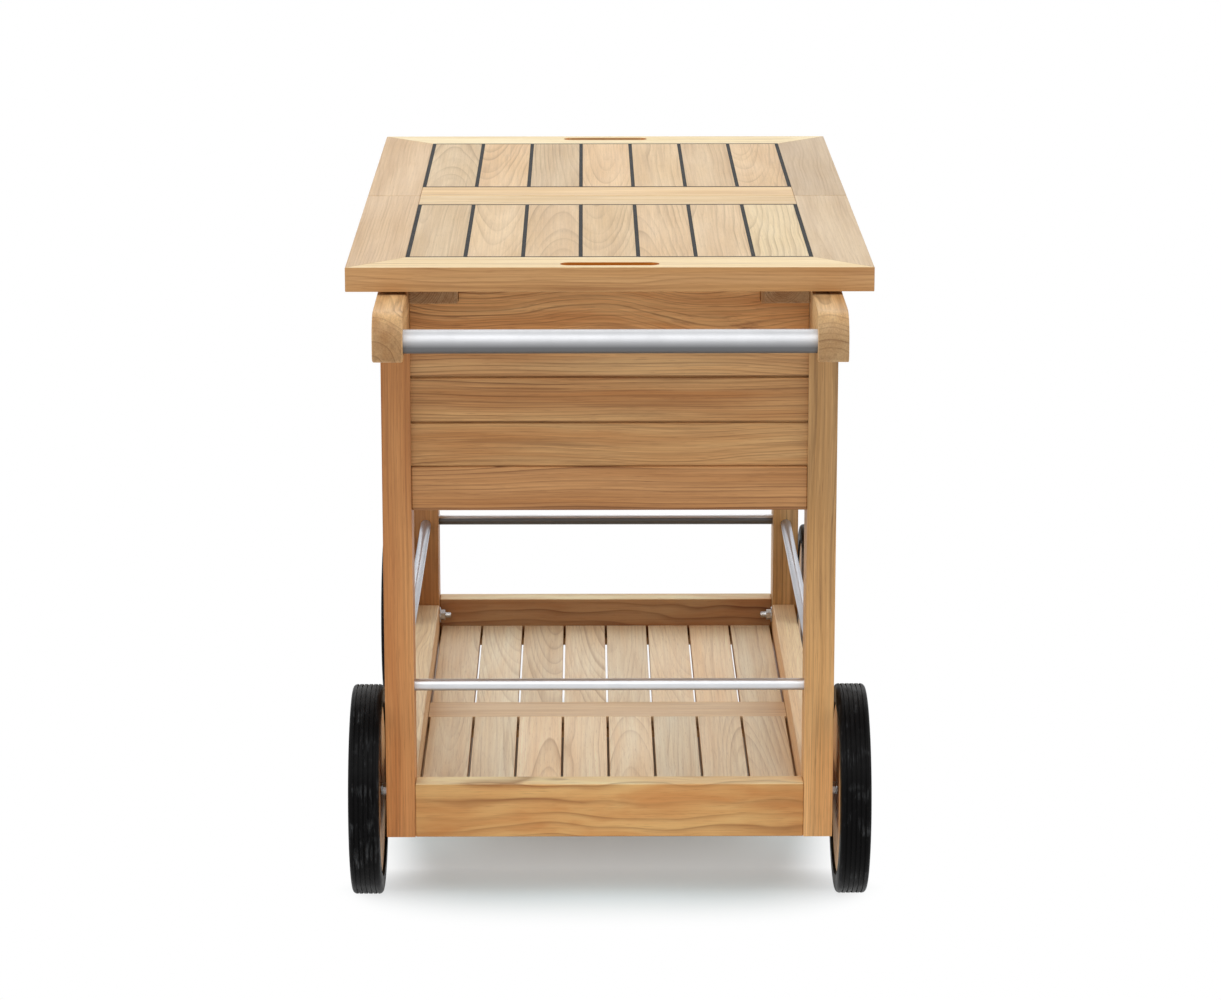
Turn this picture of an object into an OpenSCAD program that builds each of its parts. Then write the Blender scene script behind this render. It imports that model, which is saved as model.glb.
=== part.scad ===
/* [Top] */
// Length of the closed top, along the cart
top_l = 1000; // [960:5:1060]
// Width of the top
top_w = 600; // [580:1:640]
// Height of the top surface above the floor
top_z = 777; // [770:1:830]
// Thickness of the two leaf frames
top_t = 28; // [24:1:34]
// Width of every frame member of a leaf
stile_w = 66; // [56:1:76]
// Number of slats in each leaf
leaf_slat_n = 7; // [5:1:9]
// Thickness of the leaf slats
leaf_slat_t = 20; // [16:1:21]
// Width of the ledge that carries the leaf slats
leaf_ledge_w = 12; // [8:1:16]
// Width of the black caulk seams
caulk_w = 4.5; // [3:0.5:6]
// Depth of the caulk seams
caulk_d = 6; // [4:1:8]
// Gap at the seam between the closed leaves
seam_gap = 1; // [0.6:0.1:2]
// Length of the finger slot in each outer rail
slot_l = 113; // [90:1:140]
// Width of the finger slot
slot_w = 20; // [16:1:24]
// Distance from the end of the top to the middle of the finger slot
slot_inset = 23; // [18:1:30]
// How far each leaf slides out
leaf_travel = 200; // [150:5:205]

/* [Runners] */
// Width of the runners under the leaves
runner_w = 56; // [40:1:60]
// Height of the runners
runner_t = 24; // [22:1:25]
// How far the runner ends stand out of the box
runner_out = 12; // [4:1:20]
// Distance from the seam to the inner end of a runner
runner_inset = 20; // [10:1:40]
// Length of the tongue at the inner end of a runner
tongue_l = 180; // [120:5:180]
// How far the tongue stands out of the runner
tongue_w = 7; // [5:0.5:9]
// Height of the tongue
tongue_t = 8; // [6:0.5:9]
// Height of the tongue above the bottom of the runner
tongue_up = 3; // [2:0.5:5]

/* [Frame] */
// Length over the outer faces of the legs
frame_l = 869; // [840:1:900]
// Width over the outer faces of the legs
frame_w = 529; // [515:1:560]
// Width of a leg, across the cart
leg_w = 34; // [30:1:38]
// Depth of a leg, along the cart
leg_d = 60; // [56:1:66]
// Height of the leg ends above the floor
leg_z = 78; // [60:1:90]
// Gap between the arms and the leaves above them
arm_gap = 4; // [3:0.5:6]
// Height of the handle arms
arm_h = 55; // [54:1:60]
// How far the arms reach in front of the legs
arm_reach = 184; // [170:1:210]
// Radius of the upper front corner of an arm
arm_top_r = 32; // [20:1:36]
// Radius of the lower front corner of an arm
arm_low_r = 10; // [5:1:16]
// Depth of the stub tenons of the rails
tenon_l = 12; // [8:1:13]
// Thickness of the stub tenons
tenon_t = 12; // [8:1:14]
// Shoulder above and below each tenon
tenon_shoulder = 9; // [6:1:14]

/* [Handle and guard tubes] */
// Outer diameter of the handle tube
handle_d = 27; // [24:0.5:28]
// Distance from the arm tips to the middle of the handle tube
handle_inset = 28; // [26:1:34]
// Height of the handle tube above the bottom of the arms
handle_up = 20; // [19:0.5:21]
// Depth of the handle sockets in the arms
handle_socket = 18; // [12:1:24]
// Wall of all tubes
tube_wall = 1.5; // [1:0.1:2]
// Outer diameter of the guard tubes
guard_d = 14; // [12:0.5:16]
// Height of the guard tubes above the floor
guard_z = 258; // [220:1:300]
// Depth of the guard tube sockets in the legs
guard_socket = 12; // [8:1:15]

/* [Box] */
// Height of the box bottom above the floor
box_z = 477; // [460:1:500]
// Height of the bottom rails of the box
box_rail_h = 52; // [44:1:58]
// Thickness of the bottom rails of the box
box_rail_t = 22; // [18:1:26]
// How far the bottom rails lie behind the leg faces
box_rail_back = 3; // [1:0.5:5]
// Number of boards above each bottom rail, up to the arms
board_n = 3; // [2:1:4]
// Thickness of the boards
board_t = 14; // [12:1:16]
// How far the boards lie behind the leg faces
board_back = 6; // [4:0.5:9]
// Chamfer along the outer edges of the boards
board_bevel = 1; // [0.5:0.5:2]
// Height of the open joint between the outer edges of two boards
board_gap = 2.5; // [1:0.5:4]
// Thickness of the tongues that join the boards
board_tongue_t = 5; // [4:0.5:6]
// Depth of the tongues in the board above
board_tongue_l = 4; // [3:0.5:6]
// Depth of the board grooves in the legs
board_groove = 5; // [3:0.5:8]
// Thickness of the floor boards
floor_t = 10; // [8:1:14]
// Number of floor boards
floor_n = 6; // [4:1:8]
// Gap between the floor boards
floor_gap = 4; // [2:1:8]
// Size of the square ledge strips under the floor
ledge = 15; // [12:1:18]

/* [Ice tub and its deck] */
// Length of the tub, along the cart
tub_l = 376; // [340:1:380]
// Width of the tub, across the cart
tub_w = 300; // [260:1:340]
// Depth of the tub under its rim
tub_h = 172; // [150:1:176]
// Radius of the upright corners of the tub
tub_r = 40; // [30:1:50]
// Radius of the cove at the bottom of the tub
tub_cove = 20; // [12:1:24]
// Thickness of the tub sheet
tub_t = 1.2; // [0.8:0.1:2]
// Width of the flat rim around the tub
rim_w = 10; // [8:1:14]
// Radius of the rolled edge of the rim
rim_roll = 2.5; // [2:0.1:3.5]
// Thickness of the deck planks
deck_t = 18; // [14:1:20]
// Number of deck planks
deck_n = 8; // [6:1:10]
// Gap between the deck planks
deck_gap = 2; // [1:0.5:4]
// Width of the cleats that carry the deck
cleat_w = 24; // [20:1:30]
// Height of the cleats
cleat_h = 18; // [14:1:24]

/* [Shelf] */
// Height of the shelf rails
shelf_rail_h = 66; // [60:1:72]
// Thickness of the shelf rails
shelf_rail_t = 30; // [26:1:31]
// Height of the slat surface above the lower ends of the legs
shelf_up = 28; // [26:1:36]
// Thickness of the shelf slats
shelf_slat_t = 14; // [12:1:16]
// Number of slats across the shelf
shelf_slat_n = 8; // [6:1:10]
// Gap between the shelf slats
shelf_gap = 3; // [2:0.5:5]
// Width of the cross rail in the middle of the shelf, along the cart
cross_w = 64; // [50:1:80]
// Thickness of the cross rail
cross_t = 24; // [18:1:25]
// Height of the ledges under the shelf slats
shelf_ledge_h = 10; // [8:1:12]

/* [Wheels] */
// Outer diameter of the tyres
wheel_d = 250; // [244:1:256]
// Width of the tyres
tyre_w = 36; // [32:1:40]
// Radial thickness of the tyres
tyre_t = 21; // [16:1:26]
// Radius of the tyre shoulders
tyre_r = 5; // [3:0.5:7]
// Number of grooves round the tread
groove_n = 5; // [3:1:6]
// Width of a tread groove
groove_w = 2; // [1.5:0.1:2.5]
// Depth of a tread groove
groove_d = 1.8; // [1:0.1:3]
// Thickness of the wooden wheel discs
disc_t = 30; // [26:1:32]
// Chamfer round both faces of the wheel discs
disc_bevel = 2; // [1:0.5:3]
// Gap between the legs and the tyres
wheel_gap = 5; // [4:0.5:8]
// Distance from the outer face of the leg to the wheel bolt, along the cart
bolt_inset = 42; // [41:0.5:43]

/* [Fixings] */
// Diameter of the wheel bolts
bolt_d = 8; // [6:1:8]
// Width across flats of the bolt heads and nuts
hex_af = 13; // [11:0.5:13]
// Thickness of the bolt heads
head_t = 5.3; // [4:0.1:6]
// Thickness of the inner nuts
nut_t = 6.5; // [5:0.1:8]
// Thickness of the thin nuts between leg and wheel
thin_nut_t = 4.6; // [3.5:0.1:5]
// Outer diameter of the washers
washer_d = 22; // [18:1:24]
// Thickness of the washers
washer_t = 1.6; // [1:0.1:1.8]
// Length of bolt thread that shows past the inner nuts
bolt_past = 8; // [4:1:12]
// Chamfer at the tips of the bolts
bolt_bevel = 1; // [0.4:0.1:1.2]
// Outer diameter of the wheel bushes
bush_d = 14; // [12:0.5:16]
// How far the bushes stand out of the wheel discs
bush_proud = 1; // [0.5:0.1:1.5]

/* [Clearances] */
// Radial clearance of a wheel bush on its bolt
run_clear = 0.08; // [0.05:0.01:0.1]
// Clearance of a glued or pressed fit
fit_clear = 0.1; // [0.05:0.01:0.2]
// Clearance of the sliding runners and of the wheels beside their washers
slide_clear = 0.3; // [0.3:0.05:0.5]
// Play left at the end of the runner grooves when a leaf is fully open
stop_play = 1; // [0.5:0.1:2]

/* [Hidden] */
$fn = 64;

// A hair past a face, so that cuts leave no skin
eps = 0.01;
// How far through cuts run past the faces that they cut
past = 1;
// Faces of the frame
leg_x = frame_w / 2;
leg_y = frame_l / 2;
in_x = leg_x - leg_w;
in_y = leg_y - leg_d;
leaf_z = top_z - top_t;
arm_top = leaf_z - arm_gap;
arm_z = arm_top - arm_h;
arm_tip = leg_y + arm_reach;
handle_y = arm_tip - handle_inset;
handle_z = arm_z + handle_up;
guard_x = leg_x - leg_w / 2;
guard_y = leg_y - leg_d / 2;
// Box
rail_top = box_z + box_rail_h;
board_h = (arm_z - rail_top) / board_n;
board_y = leg_y - board_back;
board_x = leg_x - board_back;
board_in_x = board_x - board_t;
board_in_y = board_y - board_t;
box_rail_in_x = leg_x - box_rail_back - box_rail_t;
floor_ledge_z = box_z + fit_clear;
floor_z = floor_ledge_z + ledge;
// Leaves
leaf_l = (top_l - seam_gap) / 2;
open_w = top_w - 2 * stile_w;
open_l = leaf_l - 2 * stile_w;
leaf_slat_w = (open_w - (leaf_slat_n + 1) * caulk_w) / leaf_slat_n;
leaf_pitch = leaf_slat_w + caulk_w;
leaf_ledge_t = top_t - leaf_slat_t;
// Runners and the groove that they run in
runner_x = in_x - slide_clear;
runner_y0 = -(leg_y + runner_out);
runner_y1 = -runner_inset;
runner_z = leaf_z - runner_t;
tongue_z = runner_z + tongue_up;
groove_half = runner_inset + tongue_l + leaf_travel + stop_play;
// Deck and tub
deck_z = arm_z - deck_t;
deck_x = in_x - slide_clear;
deck_y = board_in_y - slide_clear;
deck_pitch = (2 * deck_x + deck_gap) / deck_n;
cleat_z = deck_z - cleat_h;
// Shelf
shelf_z = leg_z + shelf_up;
shelf_rail_z = leg_z + shelf_rail_h;
shelf_in_y = leg_y - shelf_rail_t;
shelf_pitch = (2 * in_x - shelf_gap) / shelf_slat_n;
shelf_ledge_z = shelf_z - shelf_slat_t - shelf_ledge_h;
// Wheels and their bolts
wheel_z = wheel_d / 2;
wheel_y = leg_y - bolt_inset;
far_tip = max(top_l / 2, wheel_y + wheel_d / 2);
origin_y = (arm_tip - far_tip) / 2;
wheel_x = leg_x + wheel_gap + tyre_w / 2;
tyre_in = wheel_d / 2 - tyre_t;
stack_in = washer_t + thin_nut_t;
bush_x0 = leg_x + stack_in + slide_clear;
bush_x1 = wheel_x + disc_t / 2 + bush_proud;
head_x = bush_x1 + slide_clear + washer_t;
bolt_end = in_x - washer_t - nut_t - bolt_past;
hex_r = hex_af / sqrt(3);
hex_bevel = (hex_r - hex_af / 2) * tan(30);

// Moves a piece from the middle of the top to the row's origin, under the middle of the cart
module placed() {
    translate([0, origin_y, 0]) children();
}

// Calls its children at the left and at the right side
module both_sides() {
    children();
    mirror([1, 0, 0]) children();
}

// Calls its children at the handle end and at the far end
module both_ends() {
    children();
    mirror([0, 1, 0]) children();
}

// A box between two corners
module span(a, b) {
    translate(a) cube(b - a);
}

// A hexagon prism that runs along X, its corners turned off, with an optional bore
module hex_prism(x, t, bore) {
    turned = [[0, 0], [hex_af / 2, 0], [hex_r, hex_bevel], [hex_r, t - hex_bevel],
              [hex_af / 2, t], [0, t]];
    translate([x, 0, 0]) rotate([0, 90, 0]) difference() {
        intersection() {
            cylinder(h = t, r = hex_r, $fn = 6);
            rotate_extrude() polygon(turned);
        }
        if (bore > 0) translate([0, 0, -past]) cylinder(h = t + 2 * past, d = bore);
    }
}

// One leg at the positive corner, from its foot up to the arm
module leg() {
    difference() {
        span([in_x, in_y, leg_z], [leg_x, leg_y, arm_z]);
        // Wheel bolt
        translate([in_x - past, wheel_y, wheel_z]) rotate([0, 90, 0])
            cylinder(h = leg_w + 2 * past, d = bolt_d + 2 * fit_clear);
        // Guard tube sockets, across and along the cart
        translate([in_x - eps, guard_y, guard_z]) rotate([0, 90, 0])
            cylinder(h = guard_socket + eps, d = guard_d + 2 * fit_clear);
        translate([guard_x, in_y - eps, guard_z]) rotate([-90, 0, 0])
            cylinder(h = guard_socket + eps, d = guard_d + 2 * fit_clear);
        // Shelf rail mortises
        mortise_x(leg_y - shelf_rail_t / 2, leg_z, shelf_rail_z);
        mortise_y(in_x + shelf_rail_t / 2, leg_z, shelf_rail_z);
        // Box rail mortises
        mortise_x(leg_y - box_rail_back - box_rail_t / 2, box_z, rail_top);
        mortise_y(leg_x - box_rail_back - box_rail_t / 2, box_z, rail_top);
        // Grooves for the board ends
        span([in_x - eps, board_in_y - fit_clear, rail_top],
             [in_x + board_groove, board_y + fit_clear, arm_z + eps]);
        span([board_in_x - fit_clear, in_y - eps, rail_top],
             [board_x + fit_clear, in_y + board_groove, arm_z + eps]);
    }
}

// Mortise in the inner face of a leg, for a rail across the cart
module mortise_x(y, z0, z1) {
    span([in_x - eps, y - tenon_t / 2 - fit_clear, z0 + tenon_shoulder - fit_clear],
         [in_x + tenon_l + fit_clear, y + tenon_t / 2 + fit_clear,
          z1 - tenon_shoulder + fit_clear]);
}

// Mortise in the end face of a leg, for a rail along the cart
module mortise_y(x, z0, z1) {
    span([x - tenon_t / 2 - fit_clear, in_y - eps, z0 + tenon_shoulder - fit_clear],
         [x + tenon_t / 2 + fit_clear, in_y + tenon_l + fit_clear,
          z1 - tenon_shoulder + fit_clear]);
}

// Rail across the cart with a tenon at both ends
module rail_x(y, t, z0, z1) {
    span([-in_x, y - t / 2, z0], [in_x, y + t / 2, z1]);
    span([-in_x - tenon_l, y - tenon_t / 2, z0 + tenon_shoulder],
         [in_x + tenon_l, y + tenon_t / 2, z1 - tenon_shoulder]);
}

// Rail along the cart with a tenon at both ends
module rail_y(x, t, z0, z1) {
    span([x - t / 2, -in_y, z0], [x + t / 2, in_y, z1]);
    span([x - tenon_t / 2, -in_y - tenon_l, z0 + tenon_shoulder],
         [x + tenon_t / 2, in_y + tenon_l, z1 - tenon_shoulder]);
}

// Side outline of an arm: a straight bar with a nose at the handle end, in Y and Z
module arm_outline() {
    difference() {
        translate([-arm_tip, arm_z]) square([arm_tip + leg_y, arm_h]);
        translate([-arm_tip, arm_top]) mirror([0, 1, 0]) corner_cut(arm_top_r);
        translate([-arm_tip, arm_z]) corner_cut(arm_low_r);
    }
}

// What rounding a lower corner to radius r takes off it
module corner_cut(r) {
    difference() {
        translate([-past, -past]) square([r + past, r + past]);
        translate([r, r]) circle(r = r);
    }
}

// Handle arm at the right side, which runs on as the top rail of the box
module arm() {
    difference() {
        translate([in_x, 0, 0]) rotate([90, 0, 90])
            linear_extrude(height = leg_w) arm_outline();
        // Socket for the handle tube
        translate([in_x - eps, -handle_y, handle_z]) rotate([0, 90, 0])
            cylinder(h = handle_socket + eps, d = handle_d + 2 * fit_clear);
        // Groove for the runner tongues
        span([in_x - eps, -groove_half, tongue_z - slide_clear],
             [in_x + tongue_w + slide_clear, groove_half, tongue_z + tongue_t + slide_clear]);
    }
}

// A tube across or along the cart, centred at the origin
module tube(d, l) {
    difference() {
        cylinder(h = l, d = d, center = true);
        cylinder(h = l + 2 * past, d = d - 2 * tube_wall, center = true);
    }
}

// Section of one board: Y is its thickness from the outer face in, Z its height.
// Its outer edge stops short of the next board, which leaves the open joint between them.
module board_outline(h, groove) {
    difference() {
        polygon([[0, board_bevel], [board_bevel, 0], [board_t, 0], [board_t, h],
                 [board_t / 2, h], [board_t / 2, h - board_gap],
                 [board_bevel, h - board_gap], [0, h - board_gap - board_bevel]]);
        if (groove)
            translate([(board_t - board_tongue_t) / 2 - fit_clear, -eps])
                square([board_tongue_t + 2 * fit_clear, board_tongue_l + 3 * fit_clear]);
    }
}

// Section of the tongue along the upper edge of a board
module board_tongue(h) {
    translate([(board_t - board_tongue_t) / 2, h - board_gap - eps])
        square([board_tongue_t, board_gap + board_tongue_l + eps]);
}

// Places a section drawn in Y and Z, seen from the end, and extrudes it along X
module along_x(half_l) {
    rotate([90, 0, 90]) translate([0, 0, -half_l]) linear_extrude(height = 2 * half_l)
        children();
}

// Boards of the far end: those in the leg grooves, and the notched one between the arms
module end_boards() {
    h = board_h - 2 * fit_clear;
    for (i = [0 : board_n - 1])
        translate([0, board_y, rail_top + fit_clear + i * board_h]) mirror([0, 1, 0]) {
            along_x(in_x + board_groove - fit_clear) board_outline(h, i > 0);
            along_x(in_x - fit_clear) board_tongue(h);
        }
    difference() {
        translate([0, board_y, arm_z]) mirror([0, 1, 0])
            along_x(in_x - fit_clear) board_outline(arm_h, true);
        both_sides()
            span([runner_x - runner_w - slide_clear, board_in_y - past, runner_z - slide_clear],
                 [in_x + past, board_y + past, arm_top + past]);
    }
}

// Boards of the right side, between the legs and under the arm, which covers the last tongue
module side_boards() {
    h = board_h - 2 * fit_clear;
    for (i = [0 : board_n - 1])
        translate([board_x, 0, rail_top + fit_clear + i * board_h]) rotate([0, 0, 90]) {
            along_x(in_y + board_groove - fit_clear) board_outline(h, i > 0);
            if (i < board_n - 1) along_x(in_y - fit_clear) board_tongue(h);
        }
}

// Rounded rectangle outline
module rounded(w, l, r) {
    translate([-w / 2 + r, -l / 2]) square([w - 2 * r, l]);
    translate([-w / 2, -l / 2 + r]) square([w, l - 2 * r]);
    for (sx = [-1, 1], sy = [-1, 1])
        translate([sx * (w / 2 - r), sy * (l / 2 - r)]) circle(r = r);
}

// Half section of a basin from the middle of a corner: r is its half width, c its cove
module basin_section(r, c, h) {
    translate([0, c]) square([r, h - c]);
    square([r - c, h]);
    translate([r - c, c]) circle(r = c);
}

// Section of the tub sheet: floor, cove, wall, flat rim and its rolled edge
module tub_section() {
    difference() {
        basin_section(tub_r, tub_cove, tub_h);
        translate([0, tub_t]) basin_section(tub_r - tub_t, tub_cove - tub_t, tub_h);
        translate([-tub_cove, 0]) square([tub_cove, tub_h]);
    }
    translate([tub_r - tub_t / 2, tub_h - tub_t]) square([tub_t / 2 + rim_w, tub_t]);
    translate([tub_r + rim_w, tub_h + rim_roll - tub_t / 2]) difference() {
        circle(r = rim_roll, $fn = 32);
        circle(r = rim_roll - tub_t, $fn = 32);
    }
}

// Washers of one wheel, at the right side
module wheel_washer_set() {
    for (x = [in_x - washer_t, leg_x, head_x - washer_t])
        translate([x, 0, 0]) rotate([0, 90, 0]) difference() {
            cylinder(h = washer_t, d = washer_d);
            translate([0, 0, -past])
                cylinder(h = washer_t + 2 * past, d = bolt_d + 2 * fit_clear);
        }
}

// Tyre section: radius across and width up, with shoulders and tread grooves
module tyre_section() {
    r = wheel_d / 2;
    rib = (tyre_w - 2 * tyre_r + groove_w) / groove_n;
    difference() {
        union() {
            translate([tyre_in, -tyre_w / 2]) square([tyre_t - tyre_r, tyre_w]);
            translate([tyre_in, -tyre_w / 2 + tyre_r]) square([tyre_t, tyre_w - 2 * tyre_r]);
            for (s = [-1, 1])
                translate([r - tyre_r, s * (tyre_w / 2 - tyre_r)]) circle(r = tyre_r, $fn = 32);
        }
        for (i = [0 : groove_n - 1])
            translate([r - groove_d, (i - (groove_n - 1) / 2) * rib - groove_w / 2])
                square([groove_d + past, groove_w]);
    }
}

// Parts of a wheel at the right side, placed on its bolt
module at_bolt() {
    translate([0, wheel_y, wheel_z]) children();
}

module tyre() {
    at_bolt() translate([wheel_x, 0, 0]) rotate([0, 90, 0])
        rotate_extrude($fn = 128) tyre_section();
}

// Half section of a wheel disc, from its axis out
module disc_section() {
    r = tyre_in - fit_clear;
    polygon([[0, 0], [r - disc_bevel, 0], [r, disc_bevel], [r, disc_t - disc_bevel],
             [r - disc_bevel, disc_t], [0, disc_t]]);
}

module disc() {
    at_bolt() translate([wheel_x - disc_t / 2, 0, 0]) rotate([0, 90, 0])
        difference() {
            rotate_extrude($fn = 128) disc_section();
            translate([0, 0, -past])
                cylinder(h = disc_t + 2 * past, d = bush_d + 2 * fit_clear);
        }
}

module bush() {
    at_bolt() translate([bush_x0, 0, 0]) rotate([0, 90, 0])
        difference() {
            cylinder(h = bush_x1 - bush_x0, d = bush_d);
            translate([0, 0, -past])
                cylinder(h = bush_x1 - bush_x0 + 2 * past, d = bolt_d + 2 * run_clear);
        }
}

// Outline of a right-hand stile: mitred at the outer end, square at the seam.
// reach is how far its inner edge lies from the side of the top.
module stile_outline(reach, seam_end) {
    polygon([[top_w / 2, -top_l / 2], [top_w / 2, -seam_gap / 2],
             [top_w / 2 - stile_w, -seam_gap / 2], [top_w / 2 - stile_w, seam_end],
             [top_w / 2 - reach, seam_end], [top_w / 2 - reach, -top_l / 2 + reach]]);
}

// Outline of an outer rail, mitred at both ends
module outer_rail_outline(reach) {
    polygon([[-top_w / 2, -top_l / 2], [top_w / 2, -top_l / 2],
             [top_w / 2 - reach, -top_l / 2 + reach],
             [-top_w / 2 + reach, -top_l / 2 + reach]]);
}

// Outline of the finger slot, with round ends
module slot_outline() {
    square([slot_l - slot_w, slot_w], center = true);
    for (s = [-1, 1])
        translate([s * (slot_l - slot_w) / 2, 0]) circle(d = slot_w);
}

module leaf_stiles() {
    seam_end = -seam_gap / 2 - stile_w;
    both_sides() translate([0, 0, leaf_z]) {
        linear_extrude(height = top_t) stile_outline(stile_w, seam_end);
        linear_extrude(height = leaf_ledge_t)
            stile_outline(stile_w + leaf_ledge_w, seam_end);
    }
}

module leaf_outer_rail() {
    difference() {
        translate([0, 0, leaf_z]) {
            linear_extrude(height = top_t) outer_rail_outline(stile_w);
            linear_extrude(height = leaf_ledge_t)
                outer_rail_outline(stile_w + leaf_ledge_w);
        }
        translate([0, -top_l / 2 + slot_inset, leaf_z - past])
            linear_extrude(height = top_t + 2 * past) slot_outline();
    }
}

module leaf_inner_rail() {
    y = -seam_gap / 2 - stile_w;
    span([-open_w / 2, y, leaf_z], [open_w / 2, -seam_gap / 2, top_z]);
    span([-open_w / 2 + leaf_ledge_w, y - leaf_ledge_w, leaf_z],
         [open_w / 2 - leaf_ledge_w, y, leaf_z + leaf_ledge_t]);
}

// Slats: the upper part is narrower by one seam, so that the lower parts meet
module leaf_slats() {
    y0 = -top_l / 2 + stile_w;
    z0 = leaf_z + leaf_ledge_t;
    for (i = [0 : leaf_slat_n - 1]) {
        x = -open_w / 2 + caulk_w + i * leaf_pitch;
        span([x - caulk_w / 2 + fit_clear, y0 + caulk_w / 2, z0],
             [x + leaf_slat_w + caulk_w / 2 - fit_clear, y0 + open_l - caulk_w / 2,
              top_z - caulk_d]);
        span([x, y0 + caulk_w, top_z - caulk_d - eps],
             [x + leaf_slat_w, y0 + open_l - caulk_w, top_z]);
    }
}

module leaf_caulk() {
    y0 = -top_l / 2 + stile_w;
    difference() {
        span([-open_w / 2, y0, top_z - caulk_d], [open_w / 2, y0 + open_l, top_z]);
        for (i = [0 : leaf_slat_n - 1]) {
            x = -open_w / 2 + caulk_w + i * leaf_pitch;
            span([x, y0 + caulk_w, top_z - caulk_d - past],
                 [x + leaf_slat_w, y0 + open_l - caulk_w, top_z + past]);
        }
    }
}

module leaf_runners() {
    both_sides() {
        span([runner_x - runner_w, runner_y0, runner_z], [runner_x, runner_y1, leaf_z]);
        span([runner_x - eps, runner_y1 - tongue_l, tongue_z],
             [in_x + tongue_w, runner_y1, tongue_z + tongue_t]);
    }
}

module leg_handle_left() { color("#bd8546") placed() mirror([1, 0, 0]) mirror([0, 1, 0]) leg(); }
module leg_handle_right() { color("#bf9052") placed() mirror([0, 1, 0]) leg(); }
module leg_far_left() { color("#bd8546") placed() mirror([1, 0, 0]) leg(); }
module leg_far_right() { color("#bf9052") placed() leg(); }

module arm_left() { color("#d9a868") placed() mirror([1, 0, 0]) arm(); }
module arm_right() { color("#d9a868") placed() arm(); }

module handle_tube() {
    color("#c9ccd0") placed() translate([0, -handle_y, handle_z]) rotate([0, 90, 0])
        tube(handle_d, 2 * (in_x + handle_socket - fit_clear));
}

module end_boards_handle() { color("#b27a45") placed() mirror([0, 1, 0]) end_boards(); }
module end_boards_far() { color("#b27a45") placed() end_boards(); }

module end_rail(y) {
    color("#bf8a4a") placed() rail_x(y, box_rail_t, box_z, rail_top);
}
module end_rail_handle() { end_rail(-(leg_y - box_rail_back - box_rail_t / 2)); }
module end_rail_far() { end_rail(leg_y - box_rail_back - box_rail_t / 2); }

module side_boards_left() { color("#b27a45") placed() mirror([1, 0, 0]) side_boards(); }
module side_boards_right() { color("#b27a45") placed() side_boards(); }

module side_rail(x) {
    color("#bf8a4a") placed() rail_y(x, box_rail_t, box_z, rail_top);
}
module side_rail_left() { side_rail(-(leg_x - box_rail_back - box_rail_t / 2)); }
module side_rail_right() { side_rail(leg_x - box_rail_back - box_rail_t / 2); }

// Floor boards across the cart, side by side from leg to leg
module box_floor() {
    pitch = (2 * in_y + floor_gap) / floor_n;
    color("#c89b64") placed() for (i = [0 : floor_n - 1])
        span([-box_rail_in_x + fit_clear, -in_y + i * pitch + fit_clear, floor_z],
             [box_rail_in_x - fit_clear, -in_y + (i + 1) * pitch - floor_gap - fit_clear,
              floor_z + floor_t]);
}

// Strips along the side rails, which carry the floor boards
module floor_ledges() {
    color("#c89b64") placed() both_sides()
        span([box_rail_in_x - ledge, -in_y + fit_clear, floor_ledge_z],
             [box_rail_in_x, in_y - fit_clear, floor_z]);
}

module deck_planks() {
    color("#cfa066") placed() difference() {
        for (i = [0 : deck_n - 1])
            span([-deck_x + i * deck_pitch, -deck_y, deck_z],
                 [-deck_x + (i + 1) * deck_pitch - deck_gap, deck_y, arm_z]);
        translate([0, 0, deck_z - past]) linear_extrude(height = deck_t + 2 * past)
            rounded(tub_w + 2 * slide_clear, tub_l + 2 * slide_clear, tub_r + slide_clear);
    }
}

// Cleats on the boards, along the sides and across the ends
module deck_cleats() {
    color("#c2935c") placed() {
        both_sides()
            span([board_in_x - cleat_w, -in_y + fit_clear, cleat_z],
                 [board_in_x, in_y - fit_clear, deck_z]);
        both_ends()
            span([-in_x + fit_clear, board_in_y - cleat_w, cleat_z],
                 [in_x - fit_clear, board_in_y, deck_z]);
    }
}

module ice_tub() {
    cx = tub_w / 2 - tub_r;
    cy = tub_l / 2 - tub_r;
    color("#cfd3d6") placed() translate([0, 0, arm_z + tub_t - tub_h]) {
        for (k = [0 : 3]) {
            sx = k == 0 || k == 3 ? 1 : -1;
            sy = k < 2 ? 1 : -1;
            translate([sx * cx, sy * cy, 0]) rotate([0, 0, 90 * k])
                rotate_extrude(angle = 90) tub_section();
        }
        for (s = [0, 1]) {
            rotate([0, 0, 180 * s]) translate([cx, cy, 0]) rotate([90, 0, 0])
                linear_extrude(height = 2 * cy) tub_section();
            rotate([0, 0, 180 * s]) translate([-cx, cy, 0]) rotate([90, 0, 90])
                linear_extrude(height = 2 * cx) tub_section();
        }
        translate([-cx, -cy, 0]) cube([2 * cx, 2 * cy, tub_t]);
    }
}

module guard_across(y) {
    color("#c4c8cc") placed() translate([0, y, guard_z]) rotate([0, 90, 0])
        tube(guard_d, 2 * (in_x + guard_socket - fit_clear));
}
module guard_along(x) {
    color("#c4c8cc") placed() translate([x, 0, guard_z]) rotate([90, 0, 0])
        tube(guard_d, 2 * (in_y + guard_socket - fit_clear));
}
module guard_tube_handle() { guard_across(-guard_y); }
module guard_tube_far() { guard_across(guard_y); }
module guard_tube_left() { guard_along(-guard_x); }
module guard_tube_right() { guard_along(guard_x); }

module shelf_end_rail(y) {
    color("#c8924f") placed() rail_x(y, shelf_rail_t, leg_z, shelf_rail_z);
}
module shelf_rail_handle() { shelf_end_rail(-(leg_y - shelf_rail_t / 2)); }
module shelf_rail_far() { shelf_end_rail(leg_y - shelf_rail_t / 2); }

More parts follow.
